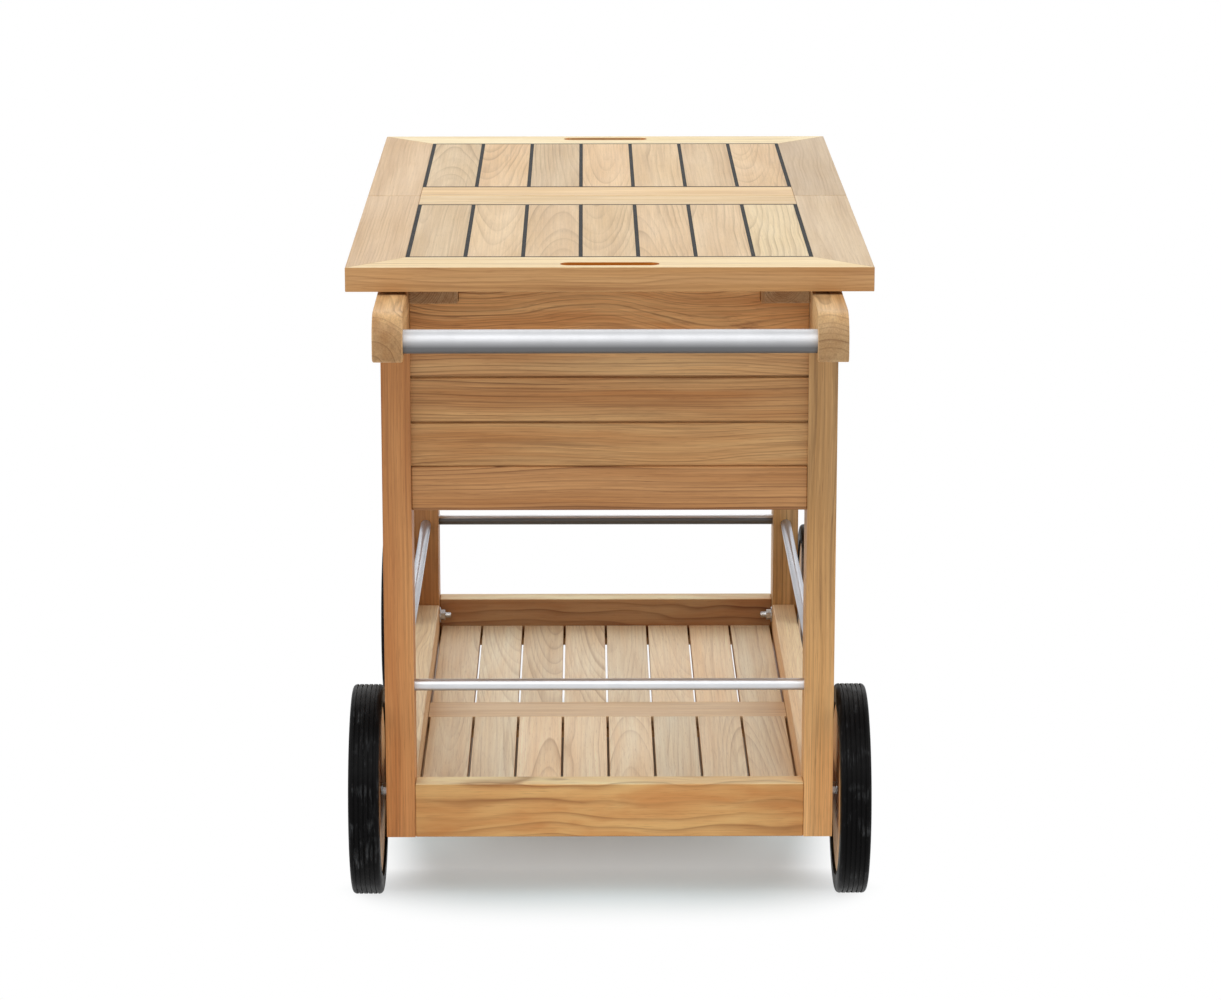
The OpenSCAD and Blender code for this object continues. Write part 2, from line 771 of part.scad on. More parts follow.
module shelf_side_rail(x) {
    color("#c8924f") placed() rail_y(x, shelf_rail_t, leg_z, shelf_rail_z);
}
module shelf_rail_left() { shelf_side_rail(-(in_x + shelf_rail_t / 2)); }
module shelf_rail_right() { shelf_side_rail(in_x + shelf_rail_t / 2); }

module shelf_cross_rail() {
    color("#d3a66c") placed() span([-in_x + fit_clear, -cross_w / 2, shelf_z - cross_t],
                          [in_x - fit_clear, cross_w / 2, shelf_z]);
}

// Slats of the far section, from the cross rail to the end rail
module shelf_slats() {
    for (i = [0 : shelf_slat_n - 1])
        span([-in_x + shelf_gap + i * shelf_pitch, cross_w / 2 + fit_clear,
              shelf_z - shelf_slat_t],
             [-in_x + (i + 1) * shelf_pitch, shelf_in_y - fit_clear, shelf_z]);
}
module shelf_slats_handle() { color("#d9b384") placed() mirror([0, 1, 0]) shelf_slats(); }
module shelf_slats_far() { color("#d9b384") placed() shelf_slats(); }

// Ledges under the slat ends, on the end rails and on both sides of the cross rail
module shelf_ledges() {
    color("#c08c50") placed() both_ends() {
        span([-in_x + fit_clear, shelf_in_y - ledge, shelf_ledge_z],
             [in_x - fit_clear, shelf_in_y, shelf_ledge_z + shelf_ledge_h]);
        span([-in_x + fit_clear, cross_w / 2, shelf_ledge_z],
             [in_x - fit_clear, cross_w / 2 + ledge, shelf_ledge_z + shelf_ledge_h]);
    }
}

module wheel_bolts() {
    color("#b4b8bc") placed() both_sides() both_ends() at_bolt() {
        translate([bolt_end, 0, 0]) rotate([0, 90, 0]) {
            cylinder(h = bolt_bevel, d1 = bolt_d - 2 * bolt_bevel, d2 = bolt_d);
            translate([0, 0, bolt_bevel])
                cylinder(h = head_x - bolt_end - bolt_bevel + eps, d = bolt_d);
        }
        hex_prism(head_x, head_t, 0);
    }
}

module wheel_nuts() {
    color("#b9bdc1") placed() both_sides() both_ends() at_bolt() {
        hex_prism(in_x - washer_t - nut_t, nut_t, bolt_d + 2 * fit_clear);
        hex_prism(leg_x + washer_t, thin_nut_t, bolt_d + 2 * fit_clear);
    }
}

module wheel_washers() {
    color("#c3c6ca") placed() both_sides() both_ends() at_bolt() wheel_washer_set();
}

module wheel_disc_handle_left() { color("#d6ab72") placed() mirror([1, 0, 0]) mirror([0, 1, 0]) disc(); }
module wheel_disc_handle_right() { color("#d6ab72") placed() mirror([0, 1, 0]) disc(); }
module wheel_disc_far_left() { color("#d6ab72") placed() mirror([1, 0, 0]) disc(); }
module wheel_disc_far_right() { color("#d6ab72") placed() disc(); }
module wheel_tyre_handle_left() { color("#1d1d1f") placed() mirror([1, 0, 0]) mirror([0, 1, 0]) tyre(); }
module wheel_tyre_handle_right() { color("#1d1d1f") placed() mirror([0, 1, 0]) tyre(); }
module wheel_tyre_far_left() { color("#1d1d1f") placed() mirror([1, 0, 0]) tyre(); }
module wheel_tyre_far_right() { color("#1d1d1f") placed() tyre(); }
module wheel_bush_handle_left() { color("#b9bcc0") placed() mirror([1, 0, 0]) mirror([0, 1, 0]) bush(); }
module wheel_bush_handle_right() { color("#b9bcc0") placed() mirror([0, 1, 0]) bush(); }
module wheel_bush_far_left() { color("#b9bcc0") placed() mirror([1, 0, 0]) bush(); }
module wheel_bush_far_right() { color("#b9bcc0") placed() bush(); }

module leaf_handle_stiles() { color("#d2a468") placed() leaf_stiles(); }
module leaf_handle_outer_rail() { color("#cc9a5c") placed() leaf_outer_rail(); }
module leaf_handle_inner_rail() { color("#d8a960") placed() leaf_inner_rail(); }
module leaf_handle_slats() { color("#e0be8d") placed() leaf_slats(); }
module leaf_handle_caulk() { color("#232222") placed() leaf_caulk(); }
module leaf_handle_runners() { color("#b98a5e") placed() leaf_runners(); }
module leaf_far_stiles() { color("#d2a468") placed() mirror([0, 1, 0]) leaf_stiles(); }
module leaf_far_outer_rail() { color("#cc9a5c") placed() mirror([0, 1, 0]) leaf_outer_rail(); }
module leaf_far_inner_rail() { color("#d8a960") placed() mirror([0, 1, 0]) leaf_inner_rail(); }
module leaf_far_slats() { color("#e0be8d") placed() mirror([0, 1, 0]) leaf_slats(); }
module leaf_far_caulk() { color("#232222") placed() mirror([0, 1, 0]) leaf_caulk(); }
module leaf_far_runners() { color("#b98a5e") placed() mirror([0, 1, 0]) leaf_runners(); }

leg_handle_left();
leg_handle_right();
leg_far_left();
leg_far_right();
arm_left();
arm_right();
handle_tube();
end_boards_handle();
end_boards_far();
end_rail_handle();
end_rail_far();
side_boards_left();
side_boards_right();
side_rail_left();
side_rail_right();
box_floor();
floor_ledges();
deck_planks();
deck_cleats();
ice_tub();
guard_tube_handle();
guard_tube_far();
guard_tube_left();
guard_tube_right();
shelf_rail_handle();
shelf_rail_far();
shelf_rail_left();
shelf_rail_right();
shelf_cross_rail();
shelf_slats_handle();
shelf_slats_far();
shelf_ledges();
wheel_bolts();
wheel_nuts();
wheel_washers();
wheel_disc_handle_left();
wheel_tyre_handle_left();
wheel_bush_handle_left();
wheel_disc_handle_right();
wheel_tyre_handle_right();
wheel_bush_handle_right();
wheel_disc_far_left();
wheel_tyre_far_left();
wheel_bush_far_left();
wheel_disc_far_right();
wheel_tyre_far_right();
wheel_bush_far_right();
leaf_handle_stiles();
leaf_handle_outer_rail();
leaf_handle_inner_rail();
leaf_handle_slats();
leaf_handle_caulk();
leaf_handle_runners();
leaf_far_stiles();
leaf_far_outer_rail();
leaf_far_inner_rail();
leaf_far_slats();
leaf_far_caulk();
leaf_far_runners();
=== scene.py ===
"""Looks of the ice bucket bar cart: its teak, steel and rubber, the floor, lamps and camera."""
import itertools
import math
from typing import NamedTuple

import bmesh
import bpy
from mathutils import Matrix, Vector


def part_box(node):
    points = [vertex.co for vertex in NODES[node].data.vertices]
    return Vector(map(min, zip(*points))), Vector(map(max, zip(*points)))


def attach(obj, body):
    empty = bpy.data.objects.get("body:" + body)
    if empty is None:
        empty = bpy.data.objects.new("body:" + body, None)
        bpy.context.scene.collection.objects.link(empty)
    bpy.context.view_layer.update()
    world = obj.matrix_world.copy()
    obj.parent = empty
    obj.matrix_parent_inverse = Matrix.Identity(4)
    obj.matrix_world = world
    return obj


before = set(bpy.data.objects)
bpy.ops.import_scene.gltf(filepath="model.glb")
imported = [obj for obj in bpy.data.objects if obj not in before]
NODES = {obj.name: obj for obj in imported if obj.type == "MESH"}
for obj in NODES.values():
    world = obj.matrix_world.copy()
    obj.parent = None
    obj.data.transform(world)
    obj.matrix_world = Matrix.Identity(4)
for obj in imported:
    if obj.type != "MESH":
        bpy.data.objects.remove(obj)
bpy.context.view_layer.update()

CORNERS = ("handle_left", "handle_right", "far_left", "far_right")
ENDS = ("handle", "far")
SIDES = ("left", "right")
AXES = "XYZ"
MM = 0.001
WHITE = (1.0, 1.0, 1.0, 1.0)


# Node graphs

NOISE_RANGE = (0.3, 0.7)  # where most of a noise lies
SMOOTHER, ROUGHER = 0.04, 0.05


def srgb(red, green, blue):
    """A colour given as it looks on a screen, 0 to 255, as linear RGBA."""
    def linear(c):
        c /= 255
        return c / 12.92 if c <= 0.04045 else ((c + 0.055) / 1.055) ** 2.4
    return (linear(red), linear(green), linear(blue), 1.0)


def tones(*colours):
    """The colours of one material, each as for srgb."""
    return tuple(srgb(*colour) for colour in colours)


def darker(colour, factor):
    """A linear RGBA colour with its light multiplied by factor."""
    return tuple(part * factor for part in colour[:3]) + (1.0,)


class Graph:
    """The nodes of one material or world. Most methods add a node and return its output."""

    def __init__(self, owner):
        owner.use_nodes = True
        self.owner = owner
        self.tree = owner.node_tree
        self.tree.nodes.clear()

    def node(self, kind, inputs=None, **settings):
        """A new node with its settings made and its inputs fed, by name or number."""
        made = self.tree.nodes.new(kind)
        for key, value in settings.items():
            setattr(made, key, value)
        for key, value in (inputs or {}).items():
            self.feed(made.inputs[key], value)
        return made

    def feed(self, socket, value):
        """Links an output to a socket, or sets the socket to a number or colour."""
        if isinstance(value, bpy.types.NodeSocket):
            self.tree.links.new(value, socket)
        else:
            socket.default_value = value

    def finish(self, shader, output="ShaderNodeOutputMaterial"):
        """Links the shader to the output of the material or world."""
        self.feed(self.node(output).inputs["Surface"], shader)

    def math(self, operation, *values):
        made = self.node("ShaderNodeMath", operation=operation)
        for socket, value in zip(made.inputs, values):
            self.feed(socket, value)
        return made.outputs[0]

    def join(self, x, y, z):
        return self.node("ShaderNodeCombineXYZ", {"X": x, "Y": y, "Z": z}).outputs[0]

    def noise(self, vector, scale, detail=2.0, roughness=0.5):
        made = self.node("ShaderNodeTexNoise", {
            "Vector": vector, "Scale": scale, "Detail": detail, "Roughness": roughness})
        return made.outputs[0]

    def random(self, vector):
        """Three random numbers, the same wherever the vector is the same."""
        made = self.node("ShaderNodeTexWhiteNoise", {"Vector": vector}, noise_dimensions="3D")
        return self.node("ShaderNodeSeparateXYZ", {"Vector": made.outputs["Color"]}).outputs

    def ramp(self, factor, stops):
        """Straight lines through stops of (position, value)."""
        made = self.node("ShaderNodeValToRGB", {"Fac": factor})
        points = made.color_ramp.elements
        while len(points) < len(stops):
            points.new(0.5)
        for point, (position, value) in zip(points, stops):
            point.position = position
            point.color = (value, value, value, 1.0)
        return made.outputs[0]

    def spread(self, value, low, high, to_low=0.0, to_high=1.0, shape="LINEAR"):
        """value from low..high to to_low..to_high, held at both ends."""
        made = self.node("ShaderNodeMapRange", {
            "Value": value, "From Min": low, "From Max": high,
            "To Min": to_low, "To Max": to_high}, interpolation_type=shape)
        return made.outputs[0]

    def mix(self, factor, a, b, blend="MIX"):
        """The colour a, or b where factor is 1."""
        made = self.node("ShaderNodeMix", {"Factor": factor, "A": a, "B": b},
                         data_type="RGBA", blend_type=blend)
        return made.outputs["Result"]

    def multiply(self, colour, other):
        return self.mix(1.0, colour, other, "MULTIPLY")

    def uneven_roughness(self, noise, middle):
        """Roughness that a noise changes a little from its middle."""
        return self.spread(noise, *NOISE_RANGE, middle - SMOOTHER, middle + ROUGHER)

    def bump(self, height, distance, strength):
        made = self.node("ShaderNodeBump", {
            "Strength": strength, "Distance": distance, "Height": height})
        return made.outputs[0]

    def surface(self, colour, roughness, normal, **sockets):
        """Ends the material in a shader; sockets are its other inputs, with _ for a space."""
        shader = self.node("ShaderNodeBsdfPrincipled", {
            "Base Color": colour, "Roughness": roughness, "Normal": normal})
        for key, value in sockets.items():
            self.feed(shader.inputs[key.replace("_", " ")], value)
        self.finish(shader.outputs[0])
        return self.owner

    def place(self):
        """The object's own x, y and z in metres, which are the frame's while it is at rest."""
        made = self.node("ShaderNodeTexCoord").outputs["Object"]
        return self.node("ShaderNodeSeparateXYZ", {"Vector": made}).outputs

    def scaled(self, place, *scales):
        """A place with its x, y and z each multiplied by its own scale."""
        return self.join(*(self.math("MULTIPLY", place[i], scales[i]) for i in range(3)))

    def facing(self):
        """The direction that the surface faces, in the object's own axes."""
        made = self.node("ShaderNodeTexCoord").outputs["Normal"]
        return self.node("ShaderNodeSeparateXYZ", {"Vector": made}).outputs

    def seen(self):
        """1 for rays that show a thing, from the camera, off gloss or through glass, else 0."""
        path = self.node("ShaderNodeLightPath").outputs
        return self.math("MAXIMUM", path["Is Camera Ray"], self.math(
            "MAXIMUM", path["Is Glossy Ray"], path["Is Transmission Ray"]))


# Wood

# Noises along the grain: turns per metre lengthwise and across, then scale, detail, roughness
SLOW_WANDER = (1.5, 3.0, 1.6, 1.0)
QUICK_WANDER = (5.0, 13.0, 1.0, 2.0)
PATCHES = (3.0, 16.0, 1.0, 2.0)
FIBRES = (6.0, 480.0, 1.0, 4.0, 0.65)
PORES = (45.0, 1500.0, 1.0, 1.0)
VEINS = (1.6, 110.0, 1.0, 4.0, 0.65)
BANDS = (1.8, 34.0, 1.0, 3.0, 0.55)
CLOUDS = (4.0, 14.0, 1.0, 3.0, 0.6)

# The range of each noise over which its trait comes in
PATCHY = (0.34, 0.58, 0.45, 1.0)
FIBRES_SHOW = (0.32, 0.62)
PORES_SHOW = (0.60, 0.74)
VEINS_SHOW = (0.54, 0.72)
BANDS_SHOW = (0.34, 0.66)
CLOUDS_SHOW = (0.45, 0.75)
VEIN_SHARE, PORE_SHARE, CLOUD_SHARE, END_SHARE = 0.75, 0.28, 0.35, 0.42

NOISE_SHIFT = 40.0  # farthest shift of a board's noises along the grain
OTHER_SEED = 31.0  # from a board's first three random numbers to its next three
BOTH_WAYS = (*NOISE_RANGE, -1.0, 1.0)
BEND_BESIDE, BEND_BELOW = 0.35, 0.22  # shares of the wave that the quick wander has
GROWTH_NOISE = (1.0, 2.0)
GROWTH_TURNS = 0.5  # turns of it for each ring
YEAR_LUCK = 2.2  # how many rings the uneven growth may add
YEAR = ((0.0, 0.10), (0.10, 0.0), (0.55, 0.12), (0.80, 0.55), (0.93, 1.0), (1.0, 0.10))
RING_NOISE = (1.3, 1.0)
RING_ALONG = 2.5  # turns per metre by which a ring's strength changes along the board
RING_STRENGTHS = (0.34, 0.62, 0.20, 1.0)
BOARD_RINGS = (0.6, 1.0)  # how strong the rings of a board may be
LEVELS = (0.92, 1.08)  # how light a board may be
WARMTHS = (-0.05, 0.05)  # what a board may gain in red and lose in blue
ENDS_SHOW = (0.45, 0.98)  # how far a surface faces along the grain to show fibre ends
FLANK_SHADE_SHOWS = (0.85, 0.25)  # how far it faces up: its own tone at the first, fully painted shade at the second
RING_ROUGHNESS = 0.05
FIBRE_RELIEF, PORE_RELIEF = 0.5, 0.8
WOOD_RELIEF = (0.12 * MM, 0.6)
WOOD_GLOSS = 0.32


class Cut(NamedTuple):
    """How boards are sawn, and how strongly their figure shows."""
    rings: float = 3.6 * MM  # width of a growth ring
    lines: float = 0.5  # strength of the rings, from 0 to 1
    streaks: float = 0.5  # strength of the dark veins
    fibres: float = 0.3  # strength of the fine fibres
    tilt: float = 0.08  # steepest slope of the pith to the board
    wave: float = 10 * MM  # how far the rings wander
    pith: tuple = (25 * MM, 70 * MM)  # how far the pith lies from the board, towards its face
    aside: tuple = (-26 * MM, 26 * MM)  # how far it lies beside the board
    roughness: float = 0.5
    flanks: tuple = None  # painted shade: the tint of all but the upper faces
    figures: tuple = ()  # for each board from the lower end, a tint and how wild its rings are
    mark: object = None  # a function that may change the tone at a place


class Boards:
    """Where a point of some nodes lies in its own board, and the board's random numbers.

    grain is the axis that the fibres follow and face the axis towards the pith. counts says how
    many boards repeat along an axis, alone or with the gap between them. Where boards lie apart,
    it is how many would fill the nodes' box. A board's order is its number along the first axis
    of counts.
    """

    def __init__(self, g, names, grain, face, counts, seed):
        self.g = g
        self.place = g.place()
        self.numbers = []
        inside = []
        for axis, (pitch, start) in enumerate(self.cells(names, counts)):
            number = 0.0
            centre = start + pitch / 2
            if AXES[axis] in counts:
                number = g.math("FLOOR", g.math(
                    "DIVIDE", g.math("SUBTRACT", self.place[axis], start), pitch))
                centre = g.math("MULTIPLY_ADD", number, pitch, centre)
            self.numbers.append(number)
            inside.append(g.math("SUBTRACT", self.place[axis], centre))
        first = g.math("ADD", self.numbers[0], seed)
        self.chance = g.random(g.join(first, *self.numbers[1:]))
        self.other = g.random(g.join(g.math("ADD", first, OTHER_SEED), *self.numbers[1:]))
        self.along = inside[AXES.index(grain)]
        self.depth = inside[AXES.index(face)]
        self.across = inside[3 - AXES.index(grain) - AXES.index(face)]
        self.shift = g.math("MULTIPLY", self.chance[0], NOISE_SHIFT)
        self.order = self.numbers[AXES.index(next(iter(counts), "X"))]

    @staticmethod
    def cells(names, counts):
        """The pitch and the start of the boards along each axis."""
        corners = [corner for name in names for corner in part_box(name)]
        for axis, letter in enumerate(AXES):
            low = min(corner[axis] for corner in corners)
            high = max(corner[axis] for corner in corners)
            count = counts.get(letter, 1)
            count, gap = count if isinstance(count, tuple) else (count, 0.0)
            yield (high - low + gap) / count, low - gap / 2

    def noise(self, lengthwise, sideways, scale, detail=2.0, rough=0.5, at=None):
        """Noise drawn out along the grain; at replaces the places across and in the board."""
        a, d = at or (self.across, self.depth)
        along = self.g.math("MULTIPLY_ADD", self.along, lengthwise, self.shift)
        return self.g.noise(self.g.join(along, self.g.math("MULTIPLY", a, sideways),
                                        self.g.math("MULTIPLY", d, sideways)),
                            scale, detail, rough)


def own_figure(g, board, figures):
    """The tint and the wildness that figures gives each board."""
    tint = WHITE
    wild = 1.0
    for order, (board_tint, wilder) in enumerate(figures):
        here = g.math("COMPARE", board.order, float(order), 0.5)
        tint = g.mix(here, tint, board_tint + (1.0,))
        wild = g.math("MULTIPLY_ADD", here, wilder - 1.0, wild)
    return tint, wild


def from_pith(g, board, cut, wild):
    """How far a point lies beside and below the pith, which runs at a slight angle."""
    slow = g.math("MULTIPLY", g.spread(board.noise(*SLOW_WANDER), *BOTH_WAYS), wild)
    bend = g.math("MULTIPLY", g.spread(board.noise(*QUICK_WANDER), *BOTH_WAYS), wild)
    beside = g.math("ADD", board.across, g.spread(board.chance[1], 0.0, 1.0, *cut.aside))
    beside = g.math("MULTIPLY_ADD", bend, BEND_BESIDE * cut.wave, beside)
    slope = g.spread(board.other[0], 0.0, 1.0, -cut.tilt, cut.tilt)
    below = g.math("ADD", board.depth, g.spread(board.chance[2], 0.0, 1.0, *cut.pith))
    below = g.math("ADD", below, g.math("MULTIPLY", board.along, slope))
    below = g.math("MULTIPLY_ADD", slow, cut.wave, below)
    below = g.math("MULTIPLY_ADD", bend, BEND_BELOW * cut.wave, below)
    return beside, below


def growth_rings(g, board, cut, patch, beside, below):
    """How dark the growth rings make the wood, from 0 to 1."""
    reach = g.math("SQRT", g.math("ADD", g.math("MULTIPLY", beside, beside),
                                  g.math("MULTIPLY", below, below)))
    years = g.math("DIVIDE", reach, cut.rings)
    uneven = g.noise(g.join(g.math("MULTIPLY", years, GROWTH_TURNS), board.shift, 0.0),
                     *GROWTH_NOISE)
    years = g.math("MULTIPLY_ADD", uneven, YEAR_LUCK, years)
    ring = g.ramp(g.math("FRACT", years), YEAR)
    strength = g.noise(g.join(g.math("FLOOR", years),
                              g.math("MULTIPLY", board.along, RING_ALONG), board.shift),
                       *RING_NOISE)
    ring = g.math("MULTIPLY", ring, g.spread(strength, *RING_STRENGTHS))
    ring = g.math("MULTIPLY", ring, patch)
    return g.math("MULTIPLY", ring, g.spread(board.chance[0], 0.0, 1.0, *BOARD_RINGS))


def own_level(g, board):
    """How light and how warm a board is, as a colour to multiply with."""
    level = g.spread(board.other[1], 0.0, 1.0, *LEVELS)
    warm = g.spread(board.other[2], 0.0, 1.0, *WARMTHS)
    return g.join(g.math("ADD", level, warm), level, g.math("SUBTRACT", level, warm))


def teak(names, grain, face, wood, counts=None, seed=0.0, **looks):
    """Dresses nodes in plain-sawn teak, cut from round growth rings.

    wood has its pale, middle and dark tone. Boards tells of grain, face and counts, and Cut of
    the looks. Each board has its own pith, slope and tone, which seed changes.
    """
    pale, mid, dark = wood
    cut = Cut(**looks)
    g = Graph(bpy.data.materials.new(f"teak {names[0]}"))
    board = Boards(g, names, grain, face, counts or {}, seed)
    tint, wild = own_figure(g, board, cut.figures)
    pith = from_pith(g, board, cut, wild)
    patch = g.spread(board.noise(*PATCHES), *PATCHY)
    ring = growth_rings(g, board, cut, patch, *pith)
    fibre = board.noise(*FIBRES)
    pore = g.spread(board.noise(*PORES), *PORES_SHOW)
    vein = g.math("MULTIPLY", g.spread(board.noise(*VEINS, at=pith), *VEINS_SHOW), patch)
    cloud = board.noise(*CLOUDS)

    tone = g.mix(g.spread(board.noise(*BANDS, at=pith), *BANDS_SHOW), pale, mid)
    tone = g.mix(g.spread(cloud, *CLOUDS_SHOW, 0.0, CLOUD_SHARE), tone, mid)
    tone = g.mix(g.math("MULTIPLY", ring, cut.lines), tone, dark)
    tone = g.mix(g.math("MULTIPLY", vein, VEIN_SHARE * cut.streaks), tone, dark)
    tone = g.mix(g.spread(fibre, *FIBRES_SHOW, cut.fibres, 0.0), tone, dark)
    tone = g.mix(g.math("MULTIPLY", pore, PORE_SHARE), tone, dark)
    tone = g.multiply(g.multiply(tone, own_level(g, board)), tint)

    # Open fibre ends take more oil, and painted shade darkens all but the upper faces
    facing = g.facing()
    ends = g.math("ABSOLUTE", facing[AXES.index(grain)])
    tone = g.mix(g.spread(ends, *ENDS_SHOW, 0.0, END_SHARE), tone, dark)
    if cut.flanks:
        tone = g.mix(g.spread(facing[2], *FLANK_SHADE_SHOWS), tone,
                     g.multiply(tone, cut.flanks + (1.0,)))
    if cut.mark:
        tone = cut.mark(g, board.place, tone)

    rough = g.math("ADD", g.math("MULTIPLY", ring, RING_ROUGHNESS),
                   g.uneven_roughness(cloud, cut.roughness))
    relief = g.math("SUBTRACT", g.math("MULTIPLY", fibre, FIBRE_RELIEF),
                    g.math("MULTIPLY", pore, PORE_RELIEF))
    dress(g.surface(tone, rough, g.bump(relief, *WOOD_RELIEF), Specular_IOR_Level=WOOD_GLOSS),
          *names)


# Metal, rubber and seams

# Noises: turns per metre, detail, roughness. Scratches and scuffs are scaled first, by axis
SCRATCHES = (1.0, 3.0, 0.6)
SCRATCH_ALONG, SCRATCH_ACROSS, SCRATCH_EVEN = 260.0, 2600.0, 1400.0
WORN_PATCHES = (26.0, 4.0, 0.6)
SMEARS = (7.0, 2.0)
RUBBER_GRAIN = (900.0, 3.0, 0.6)
RUBBER_DUST = (34.0, 5.0, 0.68)
SCUFFS = (1.0, 4.0, 0.65)
SCUFF_SCALES = (340.0, 36.0, 36.0)
CAULK_GRAIN = (700.0, 2.0)
CAULK_DUST = (42.0, 4.0, 0.6)

# The range of each noise over which its trait comes in, and from what to what
WEAR_SHOWS = (0.35, 0.70)
SMEAR_ROUGHNESS = (0.35, 0.65, -0.02, 0.05)
DUST_SHOWS, SCUFFS_SHOW = (0.48, 0.74), (0.46, 0.72)
RUBBER_ROUGHNESS = (0.35, 0.70, 0.30, 0.56)
CAULK_DUST_SHOWS = (0.4, 0.7)
CAULK_ROUGHNESS = (*NOISE_RANGE, 0.62, 0.80)

WORN = 0.84  # how light worn steel is
DUST_SHARE = 0.7
RUBBER, RUBBER_WORN, RUBBER_DUSTY = tones((7, 7, 8), (16, 15, 15), (112, 114, 116))
CAULK, CAULK_DUSTY = tones((26, 27, 28), (44, 44, 43))
RUBBER_GLOSS, CAULK_GLOSS = 0.05, 0.16
# Depth and strength of the bumps
STEEL_RELIEF, RUBBER_RELIEF, CAULK_RELIEF = (0.02 * MM, 0.5), (0.15 * MM, 0.5), (0.2 * MM, 0.6)


def satin_steel(name, tone, roughness, along=None, marks=0.5, underside_shade=None, turn=None,
                metallic=1.0):
    """Steel finished with a fine abrasive; along is the axis that its scratches follow.

    marks is how strongly patches are worn. underside_shade is how light a painted shade makes
    the side that faces down, and turn how far up a surface faces where that painted shade starts
    and where it ends.
    """
    g = Graph(bpy.data.materials.new(name))
    place = g.place()
    spot = g.join(*place)
    fine = [SCRATCH_ALONG if axis == along else SCRATCH_ACROSS for axis in AXES]
    scratch = g.noise(g.scaled(place, *(fine if along else [SCRATCH_EVEN] * 3)), *SCRATCHES)
    worn = g.spread(g.noise(spot, *WORN_PATCHES), *WEAR_SHOWS, 0.0, marks)
    colour = g.mix(worn, tone, darker(tone, WORN))
    if underside_shade:
        # Painted shade and reflection: the side that faces down is made darker
        colour = g.mix(g.spread(g.facing()[2], *turn), colour, darker(tone, underside_shade))
    rough = g.math("ADD", g.uneven_roughness(scratch, roughness),
                   g.spread(g.noise(spot, *SMEARS), *SMEAR_ROUGHNESS))
    return g.surface(colour, rough, g.bump(scratch, *STEEL_RELIEF), Metallic=metallic)


def tyre_rubber(name):
    """Black ribbed rubber with grey dust and scuffs on the tread."""
    g = Graph(bpy.data.materials.new(name))
    place = g.place()
    spot = g.join(*place)
    grain = g.noise(spot, *RUBBER_GRAIN)
    dust = g.noise(spot, *RUBBER_DUST)
    scuff = g.noise(g.scaled(place, *SCUFF_SCALES), *SCUFFS)
    amount = g.math("MULTIPLY", g.spread(dust, *DUST_SHOWS), g.spread(scuff, *SCUFFS_SHOW))
    colour = g.mix(g.spread(grain, *NOISE_RANGE), RUBBER, RUBBER_WORN)
    colour = g.mix(g.math("MULTIPLY", amount, DUST_SHARE), colour, RUBBER_DUSTY)
    return g.surface(colour, g.spread(dust, *RUBBER_ROUGHNESS),
                     g.bump(grain, *RUBBER_RELIEF), Specular_IOR_Level=RUBBER_GLOSS)


def caulk(name):
    """Black seam compound, slightly dusty and a little uneven."""
    g = Graph(bpy.data.materials.new(name))
    spot = g.join(*g.place())
    grain = g.noise(spot, *CAULK_GRAIN)
    dust = g.noise(spot, *CAULK_DUST)
    colour = g.mix(g.spread(dust, *CAULK_DUST_SHOWS), CAULK, CAULK_DUSTY)
    return g.surface(colour, g.spread(grain, *CAULK_ROUGHNESS),
                     g.bump(grain, *CAULK_RELIEF), Specular_IOR_Level=CAULK_GLOSS)


# What each CAD node wears

HANDLE_STEEL = (0.56, 0.565, 0.58, 1.0)
GUARD_STEEL = (0.70, 0.71, 0.73, 1.0)
SIDE_STEEL = (0.47, 0.49, 0.54, 1.0)
FIXING_STEEL = (0.60, 0.61, 0.62, 1.0)
TUB_STEEL = (0.62, 0.63, 0.64, 1.0)

WELD_REACH = 0.01 * MM
FLAT_ANGLE = math.radians(0.5)
SHARP_ANGLE = math.radians(35)


def dress(material, *names):
    """Gives CAD nodes a material instead of what they had."""
    for name in names:
        slots = NODES[name].data.materials
        slots.clear()
        slots.append(material)


def ease(width, *names, segments=2):
    """Rounds the edges of CAD nodes a little: the faces are joined first, then bevelled."""
    for name in names:
        node = NODES[name]
        weld = node.modifiers.new("join faces", "WELD")
        weld.merge_threshold = WELD_REACH
        flat = node.modifiers.new("merge flats", "DECIMATE")
        flat.decimate_type = "DISSOLVE"
        flat.angle_limit = FLAT_ANGLE
        bevel = node.modifiers.new("eased edges", "BEVEL")
        bevel.width = width
        bevel.segments = segments
        bevel.limit_method = "ANGLE"
        bevel.angle_limit = SHARP_ANGLE
        bevel.use_clamp_overlap = True
        bevel.harden_normals = True


def every(pattern, places=ENDS):
    """The names of nodes that differ in their place: both ends, both sides or all corners."""
    return [pattern.format(place) for place in places]


def link(name, data):
    """A new object in the scene."""
    thing = bpy.data.objects.new(name, data)
    bpy.context.scene.collection.objects.link(thing)
    return thing


def link_mesh(name, shape, material):
    """Ends a bmesh as an object in the scene."""
    mesh = bpy.data.meshes.new(name)
    shape.to_mesh(mesh)
    shape.free()
    mesh.materials.append(material)
    return link(name, mesh)


# Woods, each with its pale, middle and dark tone
SLAT_WOOD = tones((222, 191, 144), (204, 168, 117), (116, 79, 48))
STILE_WOOD = tones((210, 181, 140), (190, 157, 113), (124, 86, 55))
# Paler than the other top woods: painted highlight of the sheen along the top's front edge
OUTER_RAIL_WOOD_PAINTED_SHEEN = tones((252, 232, 184), (238, 210, 154), (146, 98, 54))
INNER_RAIL_WOOD = tones((240, 210, 158), (220, 184, 126), (136, 92, 54))
